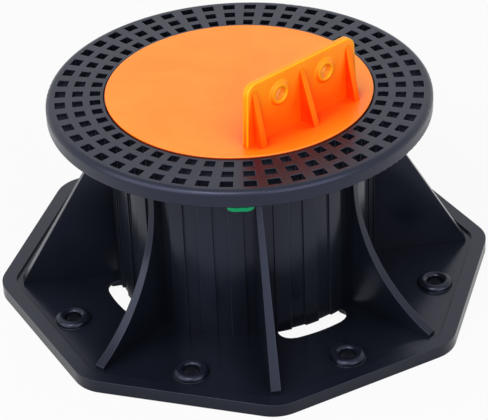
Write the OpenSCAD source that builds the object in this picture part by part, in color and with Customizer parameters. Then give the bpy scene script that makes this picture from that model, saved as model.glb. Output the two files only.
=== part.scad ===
// Adjustable decking pedestal: an octagonal base with a ribbed tower, a perforated head that screws
// in and out of it, a joist holder that swivels on the head, and a key that locks the height.
// Millimetres, +Z up. The origin is on the axis, at the ground.

/* [Base plate] */
// Distance across the flats of the octagon
base_across = 185.2; // [175:0.1:240]
// Radius of the octagon's rounded corners
corner_r = 15; // [8:0.5:24]
// Height of the panel inside the border
plate_t = 4.2; // [3:0.1:8]
// Thickness of the panel over the hollow underside
panel_t = 2.4; // [1.8:0.1:2.8]
// Wall of the skirt that stands on the ground
skirt_w = 3; // [2:0.1:5]
// Thickness of the webs under the panel
web_t = 2.4; // [1.6:0.1:3.6]
// Width of the raised border
border_w = 5.7; // [3:0.1:7]
// Height of the border above the plate
border_h = 1; // [0.4:0.1:2.5]

/* [Screw eyelets] */
// Diameter of the circle that the screw holes lie on
screw_pcd = 156; // [148:0.5:170]
// Diameter of each screw hole
screw_hole_d = 6.4; // [4:0.1:8]
// Diameter of the round bead about each hole
bead_d = 4.2; // [2:0.1:4.8]
// Height of the bead's centre above the plate
bead_rise = 0.2; // [0:0.1:1.2]
// How far the hole cuts into the bead
bead_cut = 0.4; // [0.2:0.1:0.8]

/* [Drain slots] */
// Radial width of a drain slot outside the tower
slot_w = 5.9; // [4.5:0.1:9]
// Angle between the centres of a slot's rounded corners
slot_arc = 20.7; // [12:0.1:24]
// Radius of a slot's outer corners
slot_corner_r = 5.4; // [3:0.1:5.6]
// Step between a slot's sides and its rounded corners
slot_step = 0.2; // [0.1:0.05:0.4]
// Thickness of the plate's lip round a slot
slot_lip = 1; // [0.8:0.1:2]
// How far the lip reaches past a slot
lip_w = 2.6; // [1:0.1:3]

/* [Tower] */
// Outer radius of the tower between its pads
tower_r = 51.6; // [48:0.1:54]
// Wall of the tower
tower_wall = 2.6; // [2:0.1:3.6]
// Height of the tower's rim above the ground
tower_h = 79.8; // [72:0.1:110]
// How far the flat pads stand proud of the tower
pad_proud = 0.8; // [0.3:0.1:1.5]
// Angle that one pad covers
pad_arc = 6.6; // [4:0.1:10]
// Angle from one pad to the next in the same bay
pad_step = 13; // [11:0.1:15]

/* [Ribs] */
// Thickness of a rib at the plate
rib_foot_t = 3.8; // [2.4:0.1:5]
// Thickness of a rib at its top
rib_top_t = 2; // [1.2:0.1:2.4]
// Distance from the border to the blunt end of a rib
rib_inset = 2.8; // [1:0.1:8]
// Height of the blunt end above the plate
rib_end_h = 1.1; // [0.6:0.1:5]
// Height at which a straight rib meets the tower
straight_top = 71.5; // [60:0.5:76]
// How far a curved rib's crest stands out from the tower
crest_out = 3.4; // [1.5:0.1:6]
// Height at which a curved rib leaves its crest
curve_top = 62; // [45:0.5:68]
// Height at which the crest ends
crest_top = 76; // [70:0.5:79]

/* [Head] */
// Outer diameter of the head
head_d = 150; // [146:0.5:180]
// Thickness of the head's plate
head_t = 3.7; // [3.2:0.1:5]
// Thickness of the head's ring of holes
grid_t = 4.6; // [3.8:0.1:5.6]
// Height of the rim, from its lower edge to the top face
rim_h = 6.8; // [5.8:0.1:9]
// Wall of the rim
rim_wall = 2.5; // [1.5:0.1:3.4]
// Radius that rounds the rim's lower edge
rim_round = 0.7; // [0.3:0.05:1.1]
// Radius that rounds the head's top edge
edge_round = 2.2; // [0.6:0.1:2.4]
// Rings of holes
hole_rings = 3; // [1:1:3]
// Holes in one ring
hole_count = 50; // [36:1:60]
// Radial bar between two rings of holes
hole_bar = 2.6; // [1.8:0.1:3.2]
// Plain border outside the outer ring
head_border = 3.5; // [3:0.1:5]
// Plain border between the disc's seat and the inner ring
seat_border = 1.05; // [0.8:0.05:2]
// Angle that one hole covers
hole_arc = 4.1; // [2.5:0.1:5]
// Angle of the first hole
hole_phase = 6.4; // [0:0.1:7.2]

/* [Stem] */
// Radial room for the thread between the tower and the stem
thread_room = 3; // [2:0.1:4]
// Wall of the stem
stem_wall = 3; // [2.6:0.1:4]
// Height of the stem's lower end above the ground, fully down
stem_end = 12; // [6:0.5:30]
// Depth of the groove that the holder's hooks run in
groove_depth = 1.3; // [0.8:0.1:1.6]
// Height of the groove
groove_h = 3.6; // [2.6:0.1:6]

/* [Joist holder] */
// Diameter of the holder's disc
disc_d = 104.1; // [98:0.1:106]
// Thickness of the disc
disc_t = 2.8; // [2.4:0.1:4]
// Depth of the disc's seat in the head
seat_depth = 2.2; // [1.4:0.1:2.4]
// Radius that rounds the disc's top edge
disc_round = 0.5; // [0.3:0.1:1]
// Depth that the flange's foot is let into the disc
foot_depth = 1.4; // [0.6:0.1:1.8]
// How far the foot stands back from the flange's plain face
foot_ease = 0.3; // [0.2:0.05:0.6]
// Angle that the upright flange faces
flange_turn = -76.5; // [-180:0.5:180]
// Distance from the axis to the flange's outer face
flange_out = 35.5; // [25:0.1:38]
// Thickness of the flange
flange_t = 2.5; // [1.8:0.1:4]
// Length of the flange at the disc
flange_l = 57.4; // [50:0.1:62]
// How much shorter the flange is at its top
flange_taper = 2; // [0:0.1:6]
// Height of the flange above the disc
flange_h = 25; // [20:0.1:40]
// Radius of the flange's top corners
flange_corner_r = 4.5; // [2:0.1:8]
// Distance between the flange's two screw holes
flange_hole_pitch = 23.6; // [16:0.1:30]
// Height of these holes above the disc
flange_hole_up = 16.2; // [10:0.1:18]
// Diameter of these holes
flange_hole_d = 5.5; // [3:0.1:6.5]
// Diameter of the raised boss about each hole, at the flange
boss_d = 10.4; // [9:0.1:12]
// Diameter of the boss at its top
boss_top_d = 7.6; // [6.8:0.1:8.8]
// Height of the boss
boss_h = 1; // [0.4:0.1:1.8]
// Thickness of a gusset
gusset_t = 2.4; // [1.4:0.1:3]
// Distance between neighbouring gussets
gusset_pitch = 24.2; // [18:0.1:24.5]
// How far the middle gusset reaches out at the disc
gusset_reach = 7.6; // [4:0.1:9]
// How far the outer gussets reach out at the disc
side_reach = 5; // [3:0.1:7]
// Height of the gussets above the disc
gusset_h = 21.7; // [12:0.1:22]
// Wall of the spigot under the disc
spigot_wall = 2; // [1.4:0.1:3]
// Length of the spigot under the disc
spigot_h = 8; // [7:0.1:14]
// Height of a hook on the spigot
hook_h = 2.4; // [1.5:0.1:3]
// Number of hooks
hook_count = 4; // [3:1:6]
// Angle that one hook covers
hook_arc = 24; // [10:1:40]

/* [Lock key] */
// Angle of the key about the axis
key_turn = -119.5; // [-121:0.5:-119]
// Height of the key's top face
key_top = 67; // [58:0.5:70]
// Thickness of the key
key_t = 1.6; // [1.2:0.1:4]
// Width of the key's thumb end
key_w = 10.4; // [8:0.1:10.6]
// Width of the key where it passes through the tower
shank_w = 7.6; // [5:0.1:8]
// Radius of the thumb end's corners
key_round = 3; // [1.5:0.1:4]
// Length of the thumb end
thumb_l = 4.2; // [4.1:0.1:9]
// How far the key is pushed in to lock
key_travel = 2.5; // [1:0.1:2.6]

/* [Fits] */
// Gap between the head and the tower's rim, fully down
head_gap = 0.2; // [0.1:0.05:0.5]
// Gap between the disc and the floor of its seat
disc_gap = 0.15; // [0.1:0.05:0.4]
// Radial gap between the disc's edge and its seat
seat_gap = 0.6; // [0.2:0.05:0.8]
// Radial gap between the ring of holes and the tower's pads
grid_gap = 0.5; // [0.3:0.1:0.8]
// Radial gap between the spigot and the stem
spigot_gap = 0.4; // [0.2:0.05:0.6]
// Gap between a hook and its groove
hook_gap = 0.4; // [0.2:0.05:0.6]
// Gap between the key and its window
key_gap = 0.25; // [0.15:0.05:0.4]

/* [Hidden] */
$fn = 96;
sides = 8;
bay = 360 / sides;
over = 1;
pads_in_bay = [-1, 0, 1];
apothem = base_across / 2;
corner_reach = (apothem - corner_r) / cos(bay / 2) + corner_r;
rib_foot = corner_reach - border_w - rib_inset;
rib_end_z = plate_t + rib_end_h;
tower_bore_r = tower_r - tower_wall;
pad_r = tower_r + pad_proud;
slot_mid_r = pad_r + slot_w / 2;
slot_out_r = pad_r + slot_w;
slot_end_r = slot_out_r - slot_corner_r;
slot_end_arc = slot_arc + 2 * asin((slot_corner_r - 2 * slot_step) / slot_end_r);
lip_arc = slot_end_arc + 2 * asin(lip_w / slot_end_r);
bead_mid_r = (screw_hole_d + bead_d) / 2 - bead_cut;
bead_r = bead_mid_r + bead_d / 2;
hollow_h = plate_t - panel_t;
head_r = head_d / 2;
head_under = tower_h + head_gap;
head_top = head_under + head_t;
stem_r = tower_bore_r - thread_room;
stem_bore_r = stem_r - stem_wall;
seat_z = head_top - seat_depth;
disc_r = disc_d / 2;
seat_r = disc_r + seat_gap;
grid_in_r = pad_r + grid_gap;
grid_under = head_top - grid_t;
hole_out_r = head_r - head_border;
hole_span = hole_out_r - seat_r - seat_border - (hole_rings - 1) * hole_bar;
hole_len = hole_span / hole_rings;
disc_under = seat_z + disc_gap;
disc_top = disc_under + disc_t;
spigot_r = stem_bore_r - spigot_gap;
spigot_end = disc_under - spigot_h;
hook_top = spigot_end + hook_h;
groove_top = hook_top + hook_gap;
groove_r = stem_bore_r + groove_depth;
hook_r = groove_r - hook_gap;
key_shoulder = pad_r + key_travel + key_gap;
key_end = key_shoulder + thumb_l;

// Regular octagon with flats across the axes and rounded corners, drawn inset from the plate's edge
module rounded_octagon(inset) {
    flat = apothem - inset;
    round_r = max(corner_r - inset, 0.5);
    core = flat - round_r;
    half_side = core * tan(bay / 2);
    for (side = [0 : sides / 2 - 1])
        rotate(side * bay)
            square([2 * flat, 2 * half_side], center = true);
    for (side = [0 : sides - 1])
        rotate((side + 0.5) * bay)
            translate([core / cos(bay / 2), 0])
                circle(round_r);
}

// Part of a ring about the axis, from under the tower's wall outwards, centred on +X
module ring_stretch(arc, outer) {
    far = 2 * outer;
    intersection() {
        difference() {
            circle(outer);
            circle(tower_bore_r - over);
        }
        polygon([
            [0, 0],
            [far, -far * tan(arc / 2)],
            [far, far * tan(arc / 2)]
        ]);
    }
}

// Drain slot at the tower's foot with rounded outer corners, and the lip that the plate thins to
module drain_slot() {
    translate([0, 0, -over])
        linear_extrude(plate_t + 2 * over) {
            ring_stretch(slot_arc, slot_out_r);
            ring_stretch(slot_end_arc, slot_end_r);
            for (end = [-1, 1])
                rotate(end * slot_arc / 2)
                    translate([slot_end_r, 0])
                        circle(slot_corner_r - slot_step);
        }
    translate([0, 0, -over])
        linear_extrude(plate_t - slot_lip + over)
            ring_stretch(lip_arc, slot_out_r + lip_w);
}

// Straight rib's outline in the plane of the axis, run on into the tower
module straight_rib_outline() {
    slope = (straight_top - rib_end_z) / (rib_foot - tower_r);
    polygon([
        [tower_r - over, plate_t],
        [rib_foot, plate_t],
        [rib_foot, rib_end_z],
        [tower_r - over, straight_top + over * slope]
    ]);
}

// Curved rib's outline: a hollow arc that runs from a thin crest on the tower to the blunt end
module curved_rib_outline() {
    crest_r = tower_r + crest_out;
    run = rib_foot - crest_r;
    fall = curve_top - rib_end_z;
    arc_r = (run * run + fall * fall) / (2 * run);
    difference() {
        translate([tower_r - over, plate_t])
            square([rib_foot - tower_r + over, curve_top - plate_t]);
        translate([crest_r + arc_r, curve_top])
            circle(arc_r, $fn = 180);
    }
    translate([tower_r - over, plate_t])
        square([crest_out + over, crest_top - plate_t]);
}

// One rib on the +X side, thicker at the plate than at its top and fitted to the tower's round
module rib(top) {
    difference() {
        intersection() {
            rotate([90, 0, 0])
                linear_extrude(rib_foot_t + over, center = true)
                    children();
            rotate([90, 0, 90])
                linear_extrude(rib_foot + over)
                    polygon([
                        [-rib_foot_t / 2, plate_t],
                        [rib_foot_t / 2, plate_t],
                        [rib_top_t / 2, top + 2 * over],
                        [-rib_top_t / 2, top + 2 * over]
                    ]);
        }
        cylinder(r = tower_r, h = 2 * tower_h);
    }
}

// Raised bead about one screw hole, drawn on the axis
module screw_bead() {
    rotate_extrude($fn = 48) {
        translate([bead_mid_r, plate_t + bead_rise])
            circle(d = bead_d, $fn = 24);
        translate([bead_mid_r - bead_d / 2, plate_t / 2])
            square([bead_d, plate_t / 2 + bead_rise]);
    }
}

// Hollow under the panel, open at the ground, with a web under each rib and a sleeve about each hole
module under_hollow() {
    difference() {
        translate([0, 0, -over])
            linear_extrude(hollow_h + over)
                rounded_octagon(skirt_w);
        translate([0, 0, -2 * over])
            cylinder(r = slot_mid_r, h = plate_t + 2 * over);
        for (side = [0 : sides - 1])
            rotate((side + 0.5) * bay)
                translate([0, -web_t / 2, -2 * over])
                    cube([corner_reach, web_t, plate_t + 2 * over]);
        for (side = [0 : sides - 1])
            rotate(side * bay)
                translate([screw_pcd / 2, 0, -2 * over])
                    cylinder(r = bead_r, h = plate_t + 2 * over);
    }
}

// Plan of the tower's wall with its pads
module wall_plan() {
    difference() {
        union() {
            circle(tower_r);
            intersection() {
                circle(pad_r);
                for (side = [0 : sides - 1], pad = pads_in_bay)
                    rotate(side * bay + pad * pad_step)
                        polygon([
                            [0, 0],
                            [2 * pad_r, -2 * pad_r * tan(pad_arc / 2)],
                            [2 * pad_r, 2 * pad_r * tan(pad_arc / 2)]
                        ]);
            }
        }
        circle(tower_bore_r);
    }
}

module plate() {
    difference() {
        linear_extrude(plate_t + border_h)
            rounded_octagon(0);
        translate([0, 0, plate_t])
            linear_extrude(border_h + over)
                rounded_octagon(border_w);
        under_hollow();
        for (quarter = [0 : 3])
            rotate(quarter * 90)
                drain_slot();
        translate([0, 0, -over])
            cylinder(r = tower_bore_r, h = plate_t + 2 * over);
    }
    for (side = [0 : sides - 1])
        rotate(side * bay)
            translate([screw_pcd / 2, 0, 0])
                screw_bead();
}

module base() {
    color([0.10, 0.10, 0.12])
    difference() {
        plate();
        for (side = [0 : sides - 1])
            rotate(side * bay)
                translate([screw_pcd / 2, 0, -over])
                    cylinder(d = screw_hole_d, h = plate_t + bead_d + 2 * over);
    }
}

module tower() {
    color([0.10, 0.10, 0.12])
    difference() {
        translate([0, 0, plate_t])
            linear_extrude(tower_h - plate_t)
                wall_plan();
        rotate(key_turn)
            translate([tower_bore_r - over, -shank_w / 2 - key_gap, key_top - key_t - key_gap])
                cube([tower_wall + pad_proud + 2 * over, shank_w + 2 * key_gap, key_t + 2 * key_gap]);
    }
}

module straight_ribs() {
    color([0.10, 0.10, 0.12])
    for (quarter = [0 : 3])
        rotate(quarter * 90 - bay / 2)
            rib(straight_top)
                straight_rib_outline();
}

module curved_ribs() {
    color([0.10, 0.10, 0.12])
    for (quarter = [0 : 3])
        rotate(quarter * 90 + bay / 2)
            rib(crest_top)
                curved_rib_outline();
}

// Section of the head in the plane of the axis, rounded at the rim
module head_outline() {
    difference() {
        union() {
            translate([stem_bore_r, head_under])
                square([head_r - stem_bore_r - edge_round, head_t]);
            translate([grid_in_r, grid_under])
                square([head_r - grid_in_r, grid_t - edge_round]);
            translate([head_r - edge_round, head_top - edge_round])
                circle(edge_round);
            translate([head_r - rim_wall, head_top - rim_h])
                square([rim_wall - rim_round, rim_h - edge_round]);
            translate([head_r - rim_wall, head_top - rim_h + rim_round])
                square([rim_wall, rim_h - rim_round - edge_round]);
            translate([head_r - rim_round, head_top - rim_h + rim_round])
                circle(rim_round, $fn = 32);
        }
        translate([0, seat_z])
            square([seat_r, seat_depth + over]);
    }
}

// One hole of the head's grid: two radial sides and two sides square to them, on the +X axis
module grid_hole(outer) {
    inner = outer - hole_len;
    half = tan(hole_arc / 2);
    translate([0, 0, grid_under - over])
        linear_extrude(grid_t + 2 * over)
            polygon([
                [inner, -inner * half],
                [outer, -outer * half],
                [outer, outer * half],
                [inner, inner * half]
            ]);
}

module head() {
    color([0.16, 0.16, 0.19])
    difference() {
        rotate_extrude()
            head_outline();
        for (ring = [0 : hole_rings - 1], hole = [0 : hole_count - 1])
            rotate(hole_phase + hole * 360 / hole_count)
                grid_hole(hole_out_r - ring * (hole_len + hole_bar));
    }
}

// Hollow stem under the head, with the groove that the holder's hooks run in
module stem() {
    color([0.16, 0.16, 0.19])
    rotate_extrude()
        difference() {
            translate([stem_bore_r, stem_end])
                square([stem_wall, head_under - stem_end]);
            translate([0, groove_top - groove_h])
                square([groove_r, groove_h]);
        }
}

// Plan of the flange's foot and its gussets, with the flange facing +X
module foot_plan() {
    translate([flange_out - flange_t, -flange_l / 2])
        square([flange_t, flange_l]);
    for (place = [-1, 0, 1])
        translate([flange_out - flange_t / 2, place * gusset_pitch - gusset_t / 2])
            square([flange_t / 2 + (place == 0 ? gusset_reach : side_reach), gusset_t]);
}

// Flange's outline, seen square on, from the disc's top face up
module flange_outline() {
    half_top = flange_l / 2 - flange_taper / 2;
    corner_x = half_top - flange_corner_r;
    corner_y = flange_h - flange_corner_r;
    polygon([
        [flange_l / 2, 0],
        [half_top, corner_y],
        [corner_x, corner_y],
        [corner_x, flange_h],
        [-corner_x, flange_h],
        [-corner_x, corner_y],
        [-half_top, corner_y],
        [-flange_l / 2, 0]
    ]);
    for (side = [-1, 1])
        translate([side * corner_x, corner_y])
            circle(flange_corner_r);
}

// Triangular gusset with its foot, drawn from the flange outwards along +X
module gusset(reach) {
    rotate([90, 0, 0])
        linear_extrude(gusset_t, center = true)
            polygon([
                [0, -foot_depth],
                [reach, -foot_depth],
                [reach, 0],
                [0, gusset_h]
            ]);
}

// Upright flange with its foot and bosses, facing +X, with the disc's top at height 0
module flange() {
    difference() {
        union() {
            translate([flange_out - flange_t + foot_ease, -flange_l / 2, -foot_depth])
                cube([flange_t - foot_ease, flange_l, foot_depth]);
            translate([flange_out - flange_t, 0, 0])
                rotate([90, 0, 90])
                    linear_extrude(flange_t)
                        flange_outline();
            for (side = [-1, 1])
                translate([flange_out, side * flange_hole_pitch / 2, flange_hole_up])
                    rotate([0, 90, 0])
                        cylinder(d1 = boss_d, d2 = boss_top_d, h = boss_h);
        }
        for (side = [-1, 1])
            translate([flange_out - flange_t - over, side * flange_hole_pitch / 2, flange_hole_up])
                rotate([0, 90, 0])
                    cylinder(d = flange_hole_d, h = flange_t + boss_h + 2 * over);
    }
}

module joist_holder() {
    color([1.00, 0.45, 0.08])
    difference() {
        union() {
            rotate_extrude() {
                translate([0, disc_under])
                    square([disc_r - disc_round, disc_t]);
                translate([0, disc_under])
                    square([disc_r, disc_t - disc_round]);
                translate([disc_r - disc_round, disc_top - disc_round])
                    circle(disc_round, $fn = 32);
                translate([spigot_r - spigot_wall, spigot_end])
                    square([spigot_wall, spigot_h + disc_t / 2]);
            }
            for (hook = [0 : hook_count - 1])
                rotate(hook * 360 / hook_count - hook_arc / 2)
                    rotate_extrude(angle = hook_arc)
                        translate([spigot_r - spigot_wall, spigot_end])
                            square([hook_r - spigot_r + spigot_wall, hook_h]);
        }
        rotate(flange_turn)
            translate([0, 0, disc_top - foot_depth])
                linear_extrude(foot_depth + over)
                    foot_plan();
    }
}

module joist_flange() {
    color([1.00, 0.45, 0.08])
    rotate(flange_turn)
        translate([0, 0, disc_top])
            flange();
}

module flange_gussets() {
    color([1.00, 0.45, 0.08])
    rotate(flange_turn)
        for (place = [-1, 0, 1])
            translate([flange_out, place * gusset_pitch, disc_top])
                gusset(place == 0 ? gusset_reach : side_reach);
}

// Key's plan: a shank through the tower and a round-ended thumb, along +X from the axis
module key_outline() {
    translate([tower_bore_r, -shank_w / 2])
        square([key_shoulder - tower_bore_r + over, shank_w]);
    intersection() {
        translate([key_shoulder, -key_w / 2])
            square([thumb_l, key_w]);
        union() {
            translate([key_shoulder - over, -key_w / 2])
                square([thumb_l - key_round + over, key_w]);
            translate([key_shoulder - over, key_round - key_w / 2])
                square([thumb_l + over, key_w - 2 * key_round]);
            for (side = [-1, 1])
                translate([key_end - key_round, side * (key_w / 2 - key_round)])
                    circle(key_round);
        }
    }
}

module lock_key() {
    color([0.10, 0.60, 0.38])
    rotate(key_turn)
        translate([0, 0, key_top - key_t])
            linear_extrude(key_t)
                key_outline();
}

base();
tower();
straight_ribs();
curved_ribs();
head();
stem();
joist_holder();
joist_flange();
flange_gussets();
lock_key();
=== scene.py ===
"""Looks of an adjustable decking pedestal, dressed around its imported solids.

A ribbed octagonal base carries a round tower. A perforated head screws up and down in it on a
hollow stem, an orange joist holder swivels on the head, and a small green key locks the height.
The solids are shown as they are packed and finished as moulded polypropylene. The two halves of
the screw thread, which the solids leave as plain tubes with room between them, are modelled here.
"""
import logging
import math
from dataclasses import dataclass, field, replace
from enum import Enum

import bmesh
import bpy
from mathutils import Matrix, Vector


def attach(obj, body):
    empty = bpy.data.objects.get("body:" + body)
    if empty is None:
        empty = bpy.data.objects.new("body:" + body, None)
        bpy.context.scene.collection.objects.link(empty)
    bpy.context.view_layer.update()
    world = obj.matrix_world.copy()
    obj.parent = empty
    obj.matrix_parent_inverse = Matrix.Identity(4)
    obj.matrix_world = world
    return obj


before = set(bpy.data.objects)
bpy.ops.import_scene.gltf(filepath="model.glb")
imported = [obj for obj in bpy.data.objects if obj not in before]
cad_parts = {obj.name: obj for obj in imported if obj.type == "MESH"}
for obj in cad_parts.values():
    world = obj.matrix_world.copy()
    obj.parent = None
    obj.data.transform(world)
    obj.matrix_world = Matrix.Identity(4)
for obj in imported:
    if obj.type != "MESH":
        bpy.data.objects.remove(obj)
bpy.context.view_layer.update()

log = logging.getLogger("pedestal")

MM = 0.001
MERGE_MM = 0.01
SHARP_DEG = 30.0
WHITE = "#FFFFFF"
# A colour mix is fed and read by number, because its other data types share the sockets' names.
MIX_FIRST, MIX_SECOND, MIX_RESULT = 6, 7, 2


class Body(Enum):
    """The bodies that the two halves of the thread ride on."""

    BASE = "base"
    HEAD = "head"


def linear(hex_colour: str) -> tuple[float, float, float, float]:
    """Turns an sRGB hex colour into the linear colour that a shader takes.

    Args:
        hex_colour: Six hex digits after a hash sign.

    Returns:
        Red, green, blue and an alpha of one.
    """
    parts = [int(hex_colour[i:i + 2], 16) / 255 for i in (1, 3, 5)]
    red, green, blue = (p / 12.92 if p <= 0.04045 else ((p + 0.055) / 1.055) ** 2.4 for p in parts)
    return red, green, blue, 1.0


def add_node(
    tree: bpy.types.NodeTree, kind: str, feeds: dict[str | int, object], **settings: object
) -> bpy.types.Node:
    """Adds one node with its settings, values and links.

    Args:
        tree: The node tree that gets the node.
        kind: The node's type.
        feeds: For each input, by name or number, the socket that feeds it or its plain value.
        settings: Properties of the node itself.

    Returns:
        The new node.
    """
    node = tree.nodes.new(kind)
    for name, value in settings.items():
        setattr(node, name, value)
    for key, source in feeds.items():
        if isinstance(source, bpy.types.NodeSocket):
            tree.links.new(source, node.inputs[key])
        else:
            node.inputs[key].default_value = source
    return node


@dataclass(frozen=True)
class MouldedPolypropylene:
    """Injection moulded polypropylene, dyed through, from a tool with a fine spark-eroded grain.

    It gives the eye a satin skin: broad soft reflections, faint flow marks where the melt ran,
    a grain that breaks up the gloss, and edges that are a little rounded and carry a painted
    highlight. Faces that lie open to the sky are painted paler than sheltered ones, as painted
    light and shade. Narrow gaps get a painted colour, which is painted shade, and which a thin
    wall's finish sets bright as a painted glow.
    """

    name: str
    # The colours: in shelter, painted darker as shade; under open sky, painted paler as light; in
    # flow marks; of the painted highlight along edges; and of the painted colour in narrow gaps,
    # which is shade in most finishes and a glow in the thin wall.
    colour: str
    open_colour: str
    flow_colour: str
    edge_highlight_colour: str
    painted_gap_colour: str
    # The roughness of the smoothest and the roughest spots.
    smooth: float
    rough: float
    grain_depth_mm: float
    ior: float = 1.49
    # The colour of the gloss, seen straight on.
    tint: str = WHITE
    # The flow marks: their size, and the stretch of the noise over which a mark fades in.
    flow_mm: float = 24.0
    flow_detail: float = 4.0
    flow_curl: float = 0.6
    flow_span: tuple[float, float] = (0.35, 0.65)
    flow_share: float = 0.4
    # The real grain is about 0.1 mm and is drawn coarser, so that it shows in the render.
    grain_mm: float = 0.7
    grain_detail: float = 2.0
    # The sum of both noises, from the smoothest to the roughest spots.
    speckle_span: tuple[float, float] = (0.7, 1.3)
    # The painted edge highlight: the cosine between rounded and flat normal, from no edge to all
    # edge.
    edge_mm: float = 0.4
    edge_span: tuple[float, float] = (0.995, 0.85)
    edge_share: float = 0.35
    edge_rays: int = 6
    # How far shelter reaches, and the shares of open sky from full shelter to none, for the
    # painted light and shade of open and sheltered faces.
    shelter_mm: float = 25.0
    open_from: float = 0.5
    open_to: float = 0.97
    sky_rays: int = 8
    # The painted gap colour: how wide a gap may be, the share of open sky where it begins, and the
    # part of that share where it is at its deepest. With own_gaps, only the piece's own walls make
    # a gap.
    gap_mm: float = 2.0
    gap_sky: float = 0.2
    gap_deep: float = 0.6
    own_gaps: bool = False
    # How far a face looks up where it is too level for the painted gap colour, and where it takes
    # all of it.
    level_rise: float = 0.98
    upright_rise: float = 0.8

    def material(self) -> bpy.types.Material:
        """Builds the material's nodes.

        Returns:
            The finished material.
        """
        made = bpy.data.materials.new(self.name)
        made.use_nodes = True
        tree = made.node_tree
        tree.nodes.clear()
        place = add_node(tree, "ShaderNodeTexCoord", {}).outputs["Object"]
        flow = add_node(
            tree, "ShaderNodeTexNoise",
            {"Vector": place, "Scale": 1 / (self.flow_mm * MM), "Detail": self.flow_detail,
             "Distortion": self.flow_curl},
        ).outputs[0]
        grain = add_node(
            tree, "ShaderNodeTexNoise",
            {"Vector": place, "Scale": 1 / (self.grain_mm * MM), "Detail": self.grain_detail},
        ).outputs[0]
        rounded = add_node(
            tree, "ShaderNodeBevel", {"Radius": self.edge_mm * MM}, samples=self.edge_rays
        ).outputs[0]
        facing = add_node(tree, "ShaderNodeNewGeometry", {}).outputs["Normal"]
        # Painted light and shade: faces open to the sky are mixed towards the paler open colour.
        sky = add_node(
            tree, "ShaderNodeAmbientOcclusion", {"Distance": self.shelter_mm * MM},
            samples=self.sky_rays,
        ).outputs["AO"]
        painted_sky_share = add_node(
            tree, "ShaderNodeMapRange",
            {"Value": sky, "From Min": self.open_from, "From Max": self.open_to},
        ).outputs[0]
        tone = add_node(
            tree, "ShaderNodeMix",
            {"Factor": painted_sky_share, MIX_FIRST: linear(self.colour),
             MIX_SECOND: linear(self.open_colour)},
            data_type="RGBA",
        ).outputs[MIX_RESULT]
        # Painted highlight: the edge colour goes where the rounded normal turns away from the flat
        # one.
        turned = add_node(
            tree, "ShaderNodeVectorMath", {0: rounded, 1: facing}, operation="DOT_PRODUCT"
        ).outputs["Value"]
        edge = add_node(
            tree, "ShaderNodeMapRange",
            {"Value": turned, "From Min": self.edge_span[0], "From Max": self.edge_span[1],
             "To Max": self.edge_share},
        ).outputs[0]
        flowed = add_node(
            tree, "ShaderNodeMapRange",
            {"Value": flow, "From Min": self.flow_span[0], "From Max": self.flow_span[1],
             "To Max": self.flow_share},
        ).outputs[0]
        body = add_node(
            tree, "ShaderNodeMix",
            {"Factor": flowed, MIX_FIRST: tone, MIX_SECOND: linear(self.flow_colour)},
            data_type="RGBA",
        ).outputs[MIX_RESULT]
        edge_highlighted = add_node(
            tree, "ShaderNodeMix",
            {"Factor": edge, MIX_FIRST: body, MIX_SECOND: linear(self.edge_highlight_colour)},
            data_type="RGBA",
        ).outputs[MIX_RESULT]
        # Painted shade in narrow gaps on upright faces; a thin wall's finish sets it bright as a
        # painted glow.
        room = add_node(
            tree, "ShaderNodeAmbientOcclusion", {"Distance": self.gap_mm * MM},
            samples=self.sky_rays, only_local=self.own_gaps,
        ).outputs["AO"]
        gap = add_node(
            tree, "ShaderNodeMapRange",
            {"Value": room, "From Min": self.gap_sky, "From Max": self.gap_deep * self.gap_sky},
        ).outputs[0]
        upward = add_node(tree, "ShaderNodeSeparateXYZ", {0: facing}).outputs["Z"]
        upright = add_node(
            tree, "ShaderNodeMapRange",
            {"Value": upward, "From Min": self.level_rise, "From Max": self.upright_rise},
        ).outputs[0]
        painted_gap_share = add_node(
            tree, "ShaderNodeMath", {0: gap, 1: upright}, operation="MULTIPLY"
        ).outputs[0]
        with_painted_gaps = add_node(
            tree, "ShaderNodeMix",
            {"Factor": painted_gap_share, MIX_FIRST: edge_highlighted, MIX_SECOND: linear(self.painted_gap_colour)},
            data_type="RGBA",
        ).outputs[MIX_RESULT]
        speckle = add_node(
            tree, "ShaderNodeMath", {0: flow, 1: grain}, operation="ADD"
        ).outputs[0]
        roughness = add_node(
            tree, "ShaderNodeMapRange",
            {"Value": speckle, "From Min": self.speckle_span[0],
             "From Max": self.speckle_span[1], "To Min": self.smooth, "To Max": self.rough},
        ).outputs[0]
        bumped = add_node(
            tree, "ShaderNodeBump",
            {"Height": grain, "Distance": self.grain_depth_mm * MM, "Normal": rounded},
        ).outputs[0]
        shader = add_node(
            tree, "ShaderNodeBsdfPrincipled",
            {"Base Color": with_painted_gaps, "Roughness": roughness, "Normal": bumped, "IOR": self.ior,
             "Specular Tint": linear(self.tint)},
        ).outputs[0]
        add_node(tree, "ShaderNodeOutputMaterial", {"Surface": shader})
        return made


# Dyed with carbon black: near black and a little blue, and glossy enough to mirror the pale room.
# Its open, edge and gap colours are painted light, a painted highlight and painted shade.
BLACK = MouldedPolypropylene(
    name="moulded_black_polypropylene",
    colour="#0A0C13", open_colour="#141721", flow_colour="#0E1118", edge_highlight_colour="#3A3D4A",
    painted_gap_colour="#040509",
    smooth=0.15, rough=0.27, ior=1.58, tint="#A0A4C0", grain_depth_mm=0.004, edge_share=0.5,
)
# The head comes from a duller tool, so its gloss is wider and its painted edge highlight stronger.
SATIN_BLACK = replace(
    BLACK, name="satin_moulded_black_polypropylene", smooth=0.24, rough=0.38,
    tint="#B4B8DC", edge_highlight_colour="#4A4D5A", edge_share=0.6,
)
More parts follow.
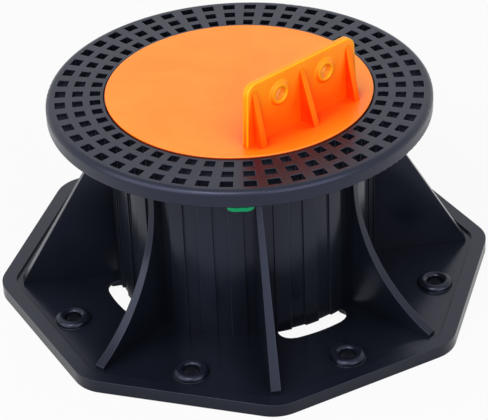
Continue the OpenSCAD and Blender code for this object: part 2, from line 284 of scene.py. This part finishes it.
# The thick disc: even and satin, with a dark line where it sits in the head: real shade in the
# gap, deepened by painted shade. Its open and edge colours are painted light and a painted
# highlight.
ORANGE = MouldedPolypropylene(
    name="moulded_orange_polypropylene",
    colour="#EE3A00", open_colour="#FF8E12", flow_colour="#FF7806", edge_highlight_colour="#FFA62A",
    painted_gap_colour="#3A1204",
    smooth=0.3, rough=0.42, grain_depth_mm=0.005, gap_sky=0.8,
)
# The flange is thin, and the light that it lets through is painted: a yellow glow along its
# edges and all round its screw holes, floors too, and red where it is sheltered, as painted shade.
THIN_ORANGE = replace(
    ORANGE, name="moulded_orange_polypropylene_wall", tint="#FFC890",
    colour="#FF5001", open_colour="#FF9A14", flow_colour="#FF7003", painted_gap_colour="#FFE432",
    edge_highlight_colour="#FFD010", edge_mm=1.4, edge_share=0.8,
    open_from=0.62, gap_mm=5.0, gap_sky=0.8, own_gaps=True, level_rise=2.0,
)
# The gussets are as thin, but stand in the flange's shelter and are painted redder, as painted
# shade.
RIB_ORANGE = replace(
    ORANGE, name="moulded_orange_polypropylene_rib", tint="#FF9A40",
    colour="#FF3000", open_colour="#FF7C08", flow_colour="#FF6402", edge_highlight_colour="#FF8A0C",
    gap_sky=0.2,
)
# The key: a clear green that stands out from the black, with a dull satin skin.
# Its open, edge and gap colours are painted light, a painted highlight and painted shade.
GREEN = MouldedPolypropylene(
    name="moulded_green_polypropylene",
    colour="#078A54", open_colour="#0CA267", flow_colour="#0C9A60", edge_highlight_colour="#2CB47E",
    painted_gap_colour="#06402A",
    smooth=0.32, rough=0.44, tint="#90E0B8", grain_depth_mm=0.006,
)


def dress(node: str, material: bpy.types.Material) -> None:
    """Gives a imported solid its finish.

    Args:
        node: The solid's name in the frame.
        material: The finish.
    """
    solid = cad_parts[node]
    if not solid.material_slots:
        solid.data.materials.append(material)
    for held in solid.material_slots:
        held.material = material
    log.info("%s dressed as %s", node, material.name)


def add_piece(
    name: str, shape: bmesh.types.BMesh, material: bpy.types.Material
) -> bpy.types.Object:
    """Turns a bmesh into a finished object at the origin.

    Args:
        name: The piece's name.
        shape: The shape, in metres and in place. It is freed here.
        material: The finish.

    Returns:
        The new object.
    """
    bmesh.ops.remove_doubles(shape, verts=shape.verts, dist=MERGE_MM * MM)
    bmesh.ops.recalc_face_normals(shape, faces=shape.faces)
    mesh = bpy.data.meshes.new(name)
    shape.to_mesh(mesh)
    shape.free()
    mesh.materials.append(material)
    mesh.shade_smooth()
    mesh.set_sharp_from_angle(angle=math.radians(SHARP_DEG))
    made = bpy.data.objects.new(name, mesh)
    bpy.context.scene.collection.objects.link(made)
    log.info("%s made with %d faces", name, len(mesh.polygons))
    return made


@dataclass
class ThreadRidge:
    """One half of the screw thread: a helical ridge broken by upright gaps."""

    # The section: the radius at its foot and at its crest, and half its width at each.
    root_mm: float
    crest_mm: float
    root_half_mm: float
    crest_half_mm: float
    # The heights that it stays between, and the helix's height at an angle of nought.
    low_mm: float
    high_mm: float
    rise_mm: float
    # The gaps: the angle of the first one's middle, how many there are, and half their width.
    gap_turn_deg: float
    gap_count: int
    gap_half_deg: float
    pitch_mm: float = 8.0
    step_deg: float = 4.0

    def build(self) -> bmesh.types.BMesh:
        """Spins the ridge's section along the helix, once for each stretch between two gaps.

        Returns:
            The ridge's stretches, each closed at both ends.
        """
        shape = bmesh.new()
        between = 360 / self.gap_count
        swept = between - 2 * self.gap_half_deg
        turn = self.gap_turn_deg + self.gap_half_deg
        while True:
            low_end = self.rise_mm + self.pitch_mm * turn / 360
            high_end = low_end + self.pitch_mm * swept / 360
            if high_end + self.root_half_mm > self.high_mm:
                return shape
            if low_end - self.root_half_mm >= self.low_mm:
                self.spin_stretch(shape, turn, swept)
            turn += between

    def spin_stretch(self, shape: bmesh.types.BMesh, turn: float, swept: float) -> None:
        """Adds one stretch of the ridge.

        Args:
            shape: The bmesh that gets the stretch.
            turn: The angle where it starts, in degrees, counted on over the whole turns.
            swept: The angle that it covers, in degrees.
        """
        mid = self.rise_mm + self.pitch_mm * turn / 360
        section = (
            (self.root_mm, -self.root_half_mm),
            (self.crest_mm, -self.crest_half_mm),
            (self.crest_mm, self.crest_half_mm),
            (self.root_mm, self.root_half_mm),
        )
        place = Matrix.Rotation(math.radians(turn), 4, "Z")
        corners = [
            shape.verts.new(place @ (Vector((r, 0, mid + h)) * MM)) for r, h in section
        ]
        start = shape.faces.new(corners)
        steps = math.ceil(swept / self.step_deg)
        rise = self.pitch_mm * swept / 360 / steps
        bmesh.ops.spin(
            shape, geom=[start, *start.edges, *corners], cent=(0, 0, 0), axis=(0, 0, 1),
            angle=math.radians(swept), steps=steps, dvec=(0, 0, rise * MM), use_duplicate=False,
        )


@dataclass
class RibbedBase:
    """The octagonal plate, its tower and ribs, and the thread inside the tower's top."""

    solids: tuple[str, ...] = ("base", "tower", "straight_ribs", "curved_ribs")
    thread: ThreadRidge = field(default_factory=lambda: ThreadRidge(
        root_mm=49.3, crest_mm=46.6, root_half_mm=2.4, crest_half_mm=1.2,
        low_mm=47.5, high_mm=78.8, rise_mm=4.0,
        gap_turn_deg=-119.5, gap_count=1, gap_half_deg=10.0,
    ))

    def dress(self, material: bpy.types.Material) -> None:
        """Finishes the solids and adds the tower's thread.

        Args:
            material: The finish of the whole moulding.
        """
        for node in self.solids:
            dress(node, material)
        ridge = add_piece("tower_thread", self.thread.build(), material)
        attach(ridge, Body.BASE.value)


@dataclass
class PerforatedHead:
    """The round head with its rings of holes, its hollow stem and the stem's thread."""

    solids: tuple[str, ...] = ("head", "stem")
    thread: ThreadRidge = field(default_factory=lambda: ThreadRidge(
        root_mm=45.7, crest_mm=48.6, root_half_mm=2.6, crest_half_mm=1.3,
        low_mm=13.0, high_mm=79.5, rise_mm=0.0,
        gap_turn_deg=-119.5, gap_count=4, gap_half_deg=7.0,
    ))

    def dress(self, material: bpy.types.Material) -> None:
        """Finishes the solids and adds the stem's thread.

        Args:
            material: The finish of the whole moulding.
        """
        for node in self.solids:
            dress(node, material)
        ridge = add_piece("stem_thread", self.thread.build(), material)
        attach(ridge, Body.HEAD.value)


@dataclass
class JoistHolder:
    """The disc that the joist rests on, and its upright flange."""

    disc: str = "joist_holder"
    flange: str = "joist_flange"
    gussets: str = "flange_gussets"

    def dress(
        self, disc: bpy.types.Material, wall: bpy.types.Material, rib: bpy.types.Material
    ) -> None:
        """Finishes the solids.

        Args:
            disc: The finish of the thick disc.
            wall: The finish of the thin flange.
            rib: The finish of the gussets, which the flange shelters.
        """
        dress(self.disc, disc)
        dress(self.flange, wall)
        dress(self.gussets, rib)


@dataclass
class LockKey:
    """The small sliding key that locks the height."""

    solid: str = "lock_key"

    def dress(self, material: bpy.types.Material) -> None:
        """Finishes the key's solid."""
        dress(self.solid, material)


@dataclass(frozen=True)
class Softbox:
    """A square lamp behind white cloth, turned towards the object."""

    name: str
    place_m: tuple[float, float, float]
    size_m: float
    watts: float

    def hang(self) -> None:
        """Makes the lamp and hangs it in its place."""
        lamp = bpy.data.lights.new(self.name, "AREA")
        lamp.shape = "SQUARE"
        lamp.size = self.size_m
        lamp.energy = self.watts
        hung = bpy.data.objects.new(self.name, lamp)
        hung.location = self.place_m
        hung.rotation_mode = "QUATERNION"
        hung.rotation_quaternion = (-Vector(self.place_m)).to_track_quat("-Z", "Y")
        hung.visible_camera = False
        bpy.context.scene.collection.objects.link(hung)


@dataclass
class Studio:
    """A pale floor and soft white light all round.

    The key softbox hangs at the upper left, and two wider ones fill in from the left and front.
    """

    floor_m: float = 8.0
    floor_shade: str = "#C0C0C0"
    # How white the floor shows, and how near the object it stops mirroring white.
    floor_glow: float = 0.92
    shade_m: float = 0.03
    shade_rays: int = 8
    # How strongly the white surround lights the object.
    sky: float = 0.4
    softboxes: tuple[Softbox, ...] = (
        Softbox("key_softbox", (-1.2, -1.1, 2.1), 1.2, 28.0),
        Softbox("left_softbox", (-2.2, -0.4, 1.4), 2.8, 52.0),
        Softbox("front_softbox", (0.3, -2.2, 1.2), 2.0, 28.0),
    )

    def shown_white(
        self, tree: bpy.types.NodeTree, mirrored: bpy.types.NodeSocket | float = 1.0
    ) -> bpy.types.NodeSocket:
        """Gives one for rays that see the white background, and nought for rays that light.

        Args:
            tree: The node tree that uses it.
            mirrored: How much of the white a reflection shows.

        Returns:
            The socket that holds the factor.
        """
        path = add_node(tree, "ShaderNodeLightPath", {}).outputs
        seen = add_node(
            tree, "ShaderNodeMath", {0: path["Is Camera Ray"], 1: path["Is Transmission Ray"]},
            operation="MAXIMUM",
        ).outputs[0]
        glossy = add_node(
            tree, "ShaderNodeMath", {0: path["Is Glossy Ray"], 1: mirrored}, operation="MULTIPLY"
        ).outputs[0]
        return add_node(
            tree, "ShaderNodeMath", {0: seen, 1: glossy}, operation="MAXIMUM"
        ).outputs[0]

    def build_world(self) -> None:
        """Lights the scene from all round and shows white behind it."""
        world = bpy.data.worlds.new("white_surround")
        bpy.context.scene.world = world
        world.use_nodes = True
        tree = world.node_tree
        tree.nodes.clear()
        strength = add_node(
            tree, "ShaderNodeMapRange",
            {"Value": self.shown_white(tree), "To Min": self.sky, "To Max": 1.0},
        ).outputs[0]
        light = add_node(
            tree, "ShaderNodeBackground", {"Color": linear(WHITE), "Strength": strength}
        ).outputs[0]
        add_node(tree, "ShaderNodeOutputWorld", {"Surface": light})

    def build_floor(self) -> None:
        """Lays a white floor that keeps a faint shadow of the object."""
        shape = bmesh.new()
        bmesh.ops.create_grid(shape, x_segments=1, y_segments=1, size=self.floor_m / 2)
        white = bpy.data.materials.new("white_studio_floor")
        white.use_nodes = True
        tree = white.node_tree
        tree.nodes.clear()
        paper = add_node(
            tree, "ShaderNodeBsdfDiffuse", {"Color": linear(self.floor_shade)}
        ).outputs[0]
        glow = add_node(
            tree, "ShaderNodeEmission", {"Color": linear(WHITE), "Strength": 1.0}
        ).outputs[0]
        bare = add_node(
            tree, "ShaderNodeAmbientOcclusion", {"Distance": self.shade_m},
            samples=self.shade_rays,
        ).outputs["AO"]
        share = add_node(
            tree, "ShaderNodeMath", {0: self.shown_white(tree, bare), 1: self.floor_glow},
            operation="MULTIPLY",
        ).outputs[0]
        both = add_node(tree, "ShaderNodeMixShader", {0: share, 1: paper, 2: glow}).outputs[0]
        add_node(tree, "ShaderNodeOutputMaterial", {"Surface": both})
        floor = add_piece("studio_floor", shape, white)

    def build(self) -> None:
        """Builds the floor and the surround, and hangs the softboxes."""
        self.build_world()
        self.build_floor()
        for softbox in self.softboxes:
            softbox.hang()
        bpy.context.scene.view_settings.view_transform = "Standard"


@dataclass
class PhotoCamera:
    """A camera where the photograph was taken from."""

    azimuth_deg: float = -28.27
    elevation_deg: float = 32.618
    roll_deg: float = -2.392
    distance_mm: float = 851.97
    target_z_mm: float = 28.117
    lens_mm: float = 156.677
    sensor_mm: float = 36.0

    def build(self) -> None:
        """Makes the camera and gives it to the scene."""
        data = bpy.data.cameras.new("photo_camera")
        data.sensor_fit = "HORIZONTAL"
        data.sensor_width = self.sensor_mm
        data.lens = self.lens_mm
        camera = bpy.data.objects.new("photo_camera", data)
        bpy.context.scene.collection.objects.link(camera)
        round_axis = Matrix.Rotation(math.radians(self.azimuth_deg), 4, "Z")
        tilt = Matrix.Rotation(math.radians(90 - self.elevation_deg), 4, "X")
        roll = Matrix.Rotation(math.radians(self.roll_deg), 4, "Z")
        up = Matrix.Translation((0, 0, self.target_z_mm * MM))
        back = Matrix.Translation((0, 0, self.distance_mm * MM))
        camera.matrix_world = up @ round_axis @ tilt @ back @ roll
        bpy.context.scene.camera = camera


def main() -> None:
    """Builds the camera, the finishes, the pieces and the studio in order."""
    logging.basicConfig(level=logging.INFO, format="%(name)s: %(message)s")
    PhotoCamera().build()
    RibbedBase().dress(BLACK.material())
    PerforatedHead().dress(SATIN_BLACK.material())
    JoistHolder().dress(ORANGE.material(), THIN_ORANGE.material(), RIB_ORANGE.material())
    LockKey().dress(GREEN.material())
    Studio().build()


if __name__ == "__main__":
    main()
